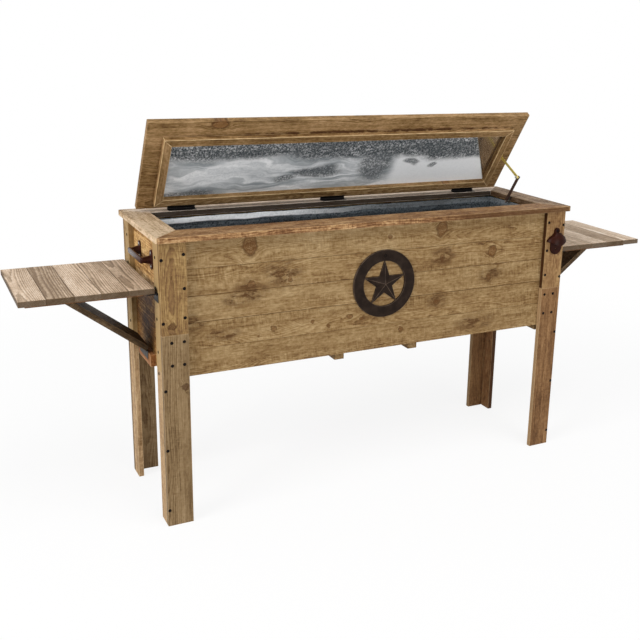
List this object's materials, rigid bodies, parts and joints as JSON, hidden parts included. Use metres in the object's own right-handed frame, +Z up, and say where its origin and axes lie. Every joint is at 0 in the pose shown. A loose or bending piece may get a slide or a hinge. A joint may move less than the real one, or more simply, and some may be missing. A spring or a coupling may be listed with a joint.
{
  "type": "patio cooler",
  "caption": "Wooden patio cooler chest on four legs with a hinged lined lid on a folding stay, and a fold-down side table on a hinged brace at each end",
  "frame": {"origin": "on the ground, under the middle of the overall box", "axes": "+X to the user's right along the chest, +Y from front to back, +Z up"},
  "size_m": [1.948, 0.418, 1.071],
  "materials": {
    "front_wood": "clear stained, satin",
    "post_wood": "stained, satin",
    "lid_wood": "stained, satin",
    "table_wood": "weathered stain, matt",
    "fresh_wood": "lightly stained, matt",
    "galvanised_sheet": "galvanised, spangled",
    "cast_metal": "dark bronze paint",
    "black_steel": "black, satin",
    "zinc_yellow": "yellow zinc plate"
  },
  "bodies": {
    "cabinet": {"rim_front": "front_wood", "rim_rear": "front_wood", "rim_left": "front_wood", "rim_right": "front_wood", "front_plank_1": "front_wood", "front_plank_2": "front_wood", "front_plank_3": "front_wood", "front_plank_4": "front_wood", "front_plank_5": "front_wood", "rear_planks": "front_wood", "left_planks": "front_wood", "right_planks": "front_wood", "post_front_left": "post_wood", "post_front_right": "post_wood", "post_rear_left": "post_wood", "post_rear_right": "post_wood", "leg_front_left": "post_wood", "leg_front_right": "post_wood", "leg_rear_left": "post_wood", "leg_rear_right": "post_wood", "leg_end_front_left": "post_wood", "leg_end_front_right": "post_wood", "leg_end_rear_left": "post_wood", "leg_end_rear_right": "post_wood", "cleat_left": "fresh_wood", "cleat_right": "fresh_wood", "floor_boards": "fresh_wood", "floor_batten_1": "fresh_wood", "floor_batten_2": "fresh_wood", "floor_batten_3": "fresh_wood", "floor_batten_4": "fresh_wood", "tub": "galvanised_sheet", "tub_rails": "fresh_wood", "star_medallion": "cast_metal", "bottle_opener": "cast_metal", "handle_left": "cast_metal", "handle_right": "cast_metal", "fixed_hinge_leaves": "black_steel", "stay_foot": "black_steel"},
    "lid": {"lid_boards": "lid_wood", "lid_frame_front": "lid_wood", "lid_frame_rear": "lid_wood", "lid_frame_left": "lid_wood", "lid_frame_right": "lid_wood", "lid_lining": "galvanised_sheet", "lid_hinge_leaves": "black_steel", "stay_lid_bracket": "zinc_yellow"},
    "stay_lower": {"stay_lower_link": "black_steel"},
    "stay_upper": {"stay_upper_link": "zinc_yellow"},
    "table_left": {"table_boards_left": "table_wood", "table_battens_left": "table_wood", "table_hinge_leaves_left": "black_steel"},
    "table_right": {"table_boards_right": "table_wood", "table_battens_right": "table_wood", "table_hinge_leaves_right": "black_steel"},
    "prop_left": {"brace_left": "post_wood", "brace_hinge_leaf_left": "black_steel"},
    "prop_right": {"brace_right": "post_wood", "brace_hinge_leaf_right": "black_steel"}
  },
  "joints": [
    {"name": "lid_hinge", "type": "hinge", "parent": "cabinet", "child": "lid", "pos_m": [0, 0.156, 0.8037], "axis": [1, 0, 0], "range_deg": [0, 56.5]},
    {"name": "stay_foot_pivot", "type": "hinge", "parent": "cabinet", "child": "stay_lower", "pos_m": [0.57, 0.029, 0.783], "axis": [1, 0, 0], "range_deg": [0, 123.71]},
    {"name": "stay_lid_pivot", "type": "hinge", "parent": "lid", "child": "stay_upper", "pos_m": [0.568, 0.06514, 0.92104], "axis": [1, 0, 0], "range_deg": [-5.22, 0]},
    {"name": "table_left_hinge", "type": "hinge", "parent": "cabinet", "child": "table_left", "pos_m": [-0.643, 0.006, 0.649], "axis": [0, -1, 0], "range_deg": [0, 85.3]},
    {"name": "prop_left_hinge", "type": "hinge", "parent": "cabinet", "child": "prop_left", "pos_m": [-0.643, 0.006, 0.458], "axis": [0, -1, 0], "range_deg": [0, 127.4]},
    {"name": "table_right_hinge", "type": "hinge", "parent": "cabinet", "child": "table_right", "pos_m": [0.643, 0.006, 0.649], "axis": [0, 1, 0], "range_deg": [0, 85.3]},
    {"name": "prop_right_hinge", "type": "hinge", "parent": "cabinet", "child": "prop_right", "pos_m": [0.643, 0.006, 0.458], "axis": [0, 1, 0], "range_deg": [0, 127.4]}
  ],
  "couplings": [
    {"joint": "stay_foot_pivot", "follows": "lid_hinge", "ratio": 2.1895},
    {"joint": "stay_lid_pivot", "follows": "lid_hinge", "ratio": -0.09242},
    {"joint": "prop_left_hinge", "follows": "table_left_hinge", "ratio": 1.4935},
    {"joint": "prop_right_hinge", "follows": "table_right_hinge", "ratio": 1.4935}
  ]
}
